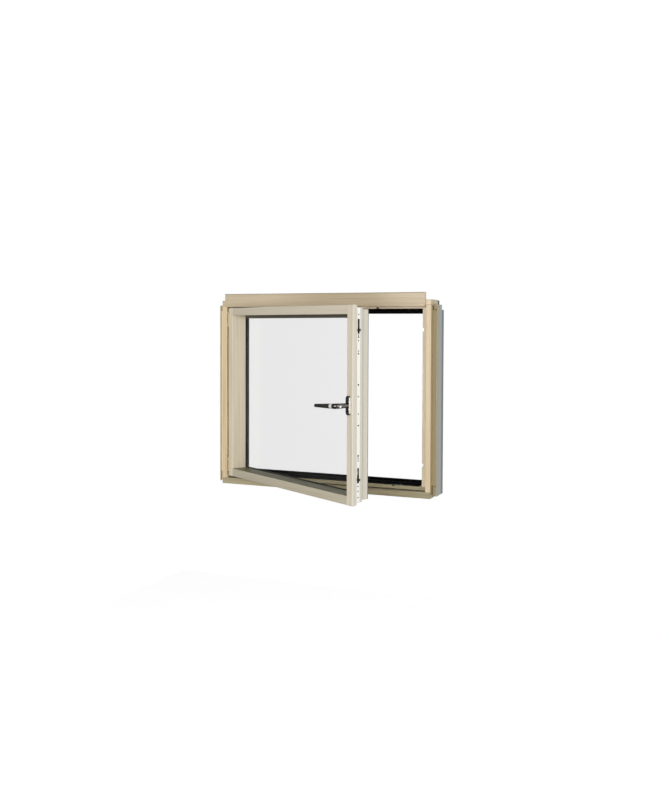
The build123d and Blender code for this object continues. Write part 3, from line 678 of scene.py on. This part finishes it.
def places_of(node):
    """Each loose pin of a CAD node as (middle of the head's face, way out of the head)."""
    pins = bmesh.new()
    pins.from_mesh(nodes[node].data)
    bmesh.ops.remove_doubles(pins, verts=pins.verts, dist=1e-6)
    left = set(pins.verts)
    found = []
    while left:
        seed = min(left, key=lambda vert: vert.index)
        island, to_visit = {seed}, [seed]
        while to_visit:
            for link in to_visit.pop().link_edges:
                for vert in link.verts:
                    if vert not in island:
                        island.add(vert)
                        to_visit.append(vert)
        left -= island
        ordered = sorted(island, key=lambda vert: vert.index)
        points = np.array([tuple(vert.co) for vert in ordered])
        middle = (points.max(0) + points.min(0)) / 2
        spread = points - points.mean(0)
        way = np.linalg.eigh(spread.T @ spread)[1][:, 2]
        along = (points - middle) @ way
        across = np.linalg.norm((points - middle) - np.outer(along, way), axis=1)
        if across[along > 0].max() < across[along < 0].max():
            way, along = -way, -along
        tip = points[along > along.max() - 1e-5]
        found.append((tip.mean(0), way))
    pins.free()
    return sorted(found, key=lambda pin: tuple(round(float(v), 4) for v in pin[0]))


def set_tree():
    """Sets a shape on each place, facing out of it, with a cross cut in when it is recessed."""
    tree = bpy.data.node_groups.new("set_on_places", "GeometryNodeTree")
    wire = Wire(tree)
    sockets = {}
    for name, kind in (
        ("Places", "Geometry"),
        ("Shape", "Object"),
        ("Recessed", "Bool"),
        ("Seed", "Int"),
        ("Material", "Material"),
    ):
        made = tree.interface.new_socket(name, in_out="INPUT", socket_type="NodeSocket" + kind)
        sockets[name] = made.identifier
    tree.interface.new_socket("Pieces", in_out="OUTPUT", socket_type="NodeSocketGeometry")
    inputs = tree.nodes.new("NodeGroupInput").outputs
    given = {name: Wire(tree, inputs[name]) for name in sockets}
    shape = wire.node(
        "GeometryNodeObjectInfo", None, {"Object": given["Shape"]}, output="Geometry"
    )
    cut = shape
    for size in (
        (recess_width, recess_length, 2 * recess_depth),
        (recess_length, recess_width, 2 * recess_depth),
    ):
        bar = wire.node("GeometryNodeMeshCube", None, {"Size": size}, output="Mesh")
        cut = wire.node(
            "GeometryNodeMeshBoolean",
            {"operation": "DIFFERENCE", "solver": "MANIFOLD"},
            {"Mesh 1": cut, "Mesh 2": bar},
            output="Mesh",
        )
    shape = wire.node(
        "GeometryNodeSwitch",
        {"input_type": "GEOMETRY"},
        {"Switch": given["Recessed"], "False": shape, "True": cut},
    )
    facing = wire.node(
        "GeometryNodeInputNamedAttribute", {"data_type": "FLOAT_VECTOR"}, {"Name": "facing"}
    )
    outwards = wire.node("FunctionNodeAlignRotationToVector", {"axis": "Z"}, {"Vector": facing})
    spin = wire.node(
        "FunctionNodeRandomValue",
        {"data_type": "FLOAT"},
        {2: 0.0, 3: math.tau, "Seed": given["Seed"]},
        output=1,
    )
    spin = wire.node("FunctionNodeAxisAngleToRotation", None, {"Axis": (0, 0, 1), "Angle": spin})
    turned = wire.node(
        "FunctionNodeRotateRotation",
        {"rotation_space": "LOCAL"},
        {"Rotation": outwards, "Rotate By": spin},
    )
    pieces = wire.node(
        "GeometryNodeInstanceOnPoints",
        None,
        {"Points": given["Places"], "Instance": shape, "Rotation": turned},
    )
    pieces = wire.node("GeometryNodeRealizeInstances", None, {"Geometry": pieces})
    pieces = wire.node(
        "GeometryNodeSetMaterial", None, {"Geometry": pieces, "Material": given["Material"]}
    )
    result = tree.nodes.new("NodeGroupOutput")
    tree.links.new(pieces.output, result.inputs["Pieces"])
    return tree, sockets


place_tree, place_sockets = set_tree()


def set_pieces(name, places, shape, material, recessed, seed):
    """A plain mesh of the shape on all the places, as one object."""
    mesh = bpy.data.meshes.new(name + "_places")
    mesh.from_pydata([tuple(float(v) for v in spot) for spot, way in places], [], [])
    facing = mesh.attributes.new("facing", "FLOAT_VECTOR", "POINT")
    for item, (spot, way) in zip(facing.data, places):
        item.vector = tuple(float(v) for v in way)
    made = bpy.data.objects.new(name, mesh)
    scene.collection.objects.link(made)
    modifier = made.modifiers.new("set_on_places", "NODES")
    modifier.node_group = place_tree
    inputs = {"Shape": shape, "Recessed": recessed, "Seed": seed, "Material": material}
    for key, value in inputs.items():
        modifier[place_sockets[key]] = value
    depsgraph = bpy.context.evaluated_depsgraph_get()
    plain = bpy.data.meshes.new_from_object(made.evaluated_get(depsgraph))
    made.modifiers.clear()
    made.data = plain
    while plain.materials[0] is None:
        plain.materials.pop(index=0)
    return made


shank = 0.0016
countersunk = turned_shape(
    "countersunk_screw",
    [
        (0, 0),
        (0.0027, 0),
        (0.00295, -0.00015),
        (shank, -0.0016),
        (shank, -0.0125),
        (0.0011, -0.0137),
        (0, -0.0138),
    ],
)
pan_headed = turned_shape(
    "pan_screw",
    [
        (0, 0),
        (0.0014, 0),
        (0.0028, -0.0003),
        (0.0036, -0.001),
        (0.0038, -0.0018),
        (shank, -0.0018),
        (shank, -0.016),
        (0, -0.0172),
    ],
)
for node, body, shape, steel, seed in (
    ("sash_screws", "sash", countersunk, phosphated, 3),
    ("rose_screws", "sash", countersunk, zinc_plate, 5),
    ("frame_screws", "frame", countersunk, zinc_plate, 7),
    ("cover_screws", "frame", pan_headed, zinc_plate, 11),
):
    cross_screws = set_pieces("cross_" + node, places_of(node), shape, steel, True, seed)
    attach(cross_screws, body)
    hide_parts(node)

# Rivets of the lock: blackened steel, with a dimple in the head, through the strip on the edge of
# the sash. They hold the guides of the rods behind it.
strip_face = (0.4030, 0.032)
lower_rivets = (0.0606, 0.082, 0.099, 0.154, 0.187, 0.194, 0.201)
upper_rivets = (0.348, 0.408, 0.564, 0.600, 0.6186, 0.689)
rivet = turned_shape(
    "dimpled_rivet",
    [
        (0, -0.0001),
        (0.0008, 0.0001),
        (0.0011, 0.0004),
        (0.0021, 0.0004),
        (0.0024, 0.0001),
        (0.0022, -0.0015),
        (0, -0.0015),
    ],
)
to_rest = Matrix.Rotation(-rest_turn, 3, "Z")
hinge = Vector(hinge_line)
rivet_places = [
    (hinge + to_rest @ (Vector((*strip_face, height)) - hinge), to_rest @ Vector((1, 0, 0)))
    for height in lower_rivets + upper_rivets
]
rivets = set_pieces("strip_rivets", rivet_places, rivet, phosphated, False, 13)
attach(rivets, "sash")

# Room: a white surround, brightest round the horizon, over a pale floor well below the window.
# The eye sees it white, also through the glass. Shiny surfaces see a darker room at the left and
# bright walls at the right and behind.
floor_level = -0.9
floor_size = 1.7
floor_mesh = bpy.data.meshes.new("floor")
grid = bmesh.new()
bmesh.ops.create_grid(grid, x_segments=2, y_segments=2, size=floor_size)
bmesh.ops.translate(grid, vec=(0, 0, floor_level), verts=grid.verts)
grid.to_mesh(floor_mesh)
grid.free()
floor = bpy.data.objects.new("floor", floor_mesh)
scene.collection.objects.link(floor)
floor_paint = bpy.data.materials.new("floor_paint")
floor_paint.use_nodes = True
floor_paint.node_tree.nodes.clear()
wire = Wire(floor_paint.node_tree)
matte = wire.node("BsdfDiffuse", None, {"Color": (0.6, 0.6, 0.6)})
dull = wire.node("BsdfDiffuse", None, {"Color": (0.25, 0.25, 0.25)})
glow = wire.node("Emission", None, {"Color": (1, 1, 1), "Strength": 0.8})
lit = wire.node("AddShader", None, {0: matte, 1: glow})
direct = wire.node("LightPath", output="Is Camera Ray")
through = wire.node("LightPath", output="Is Transmission Ray")
seen = direct.math("MAXIMUM", through)
show(floor_paint, wire.node("MixShader", None, {0: seen, 1: dull, 2: lit}))
floor_mesh.materials.append(floor_paint)
floor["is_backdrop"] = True

world = bpy.data.worlds.new("white_room")
world.use_nodes = True
world.node_tree.nodes.clear()
wire = Wire(world.node_tree)
direction = wire.node("TexCoord", output="Generated")
slope = direction.part("Z").math("ABSOLUTE")
depth = direction.part("Y").math("ABSOLUTE")
horizon = 1 - slope.within(0.05, 0.5)
towards_right = direction.part("X").within(-0.5, 0.9)
diffuse_level = horizon * (0.9 + towards_right * 1.1) + 0.1
right_wall = direction.part("X").within(0.2, 0.9)
back_wall = direction.part("Y").within(0.3, 0.8)
shiny_level = right_wall * 0.95 + back_wall * 0.4 + 0.2
direct = wire.node("LightPath", output="Is Camera Ray")
glossy = wire.node("LightPath", output="Is Glossy Ray")
through = wire.node("LightPath", output="Is Transmission Ray")
unmirrored = 1 - (wire.node("LightPath", output="Glossy Depth") > 0.5)
from_eye = 1 - (wire.node("LightPath", output="Diffuse Depth") > 0.5)
clear_view = through * unmirrored * from_eye.math("MAXIMUM", depth.within(0.3, 0.45))
seen = direct.math("MAXIMUM", clear_view)
shiny = glossy.math("MAXIMUM", through)
shade = seen.mix(shiny.mix(diffuse_level, shiny_level), (1, 1, 1))
sky = wire.node("Background", None, {"Color": shade, "Strength": 1.0})
output = world.node_tree.nodes.new("ShaderNodeOutputWorld")
world.node_tree.links.new(sky.output, output.inputs["Surface"])
scene.world = world


def soft_box(name, place, target, width, height, power):
    data = bpy.data.lights.new(name, "AREA")
    data.shape = "RECTANGLE"
    data.size = width
    data.size_y = height
    data.energy = power
    lamp = bpy.data.objects.new(name, data)
    aim = Vector(target) - Vector(place)
    turn = aim.to_track_quat("-Z", "Y").to_matrix().to_4x4()
    lamp.matrix_world = Matrix.Translation(place) @ turn
    scene.collection.objects.link(lamp)


soft_box("front_box", (0.3, -4.4, 0.9), (0, 0, 0.45), width=2.2, height=1.6, power=105)
soft_box("side_box", (3.2, -1.8, 0.8), (0.2, 0, 0.4), width=1.2, height=1.4, power=26)

low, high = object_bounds()
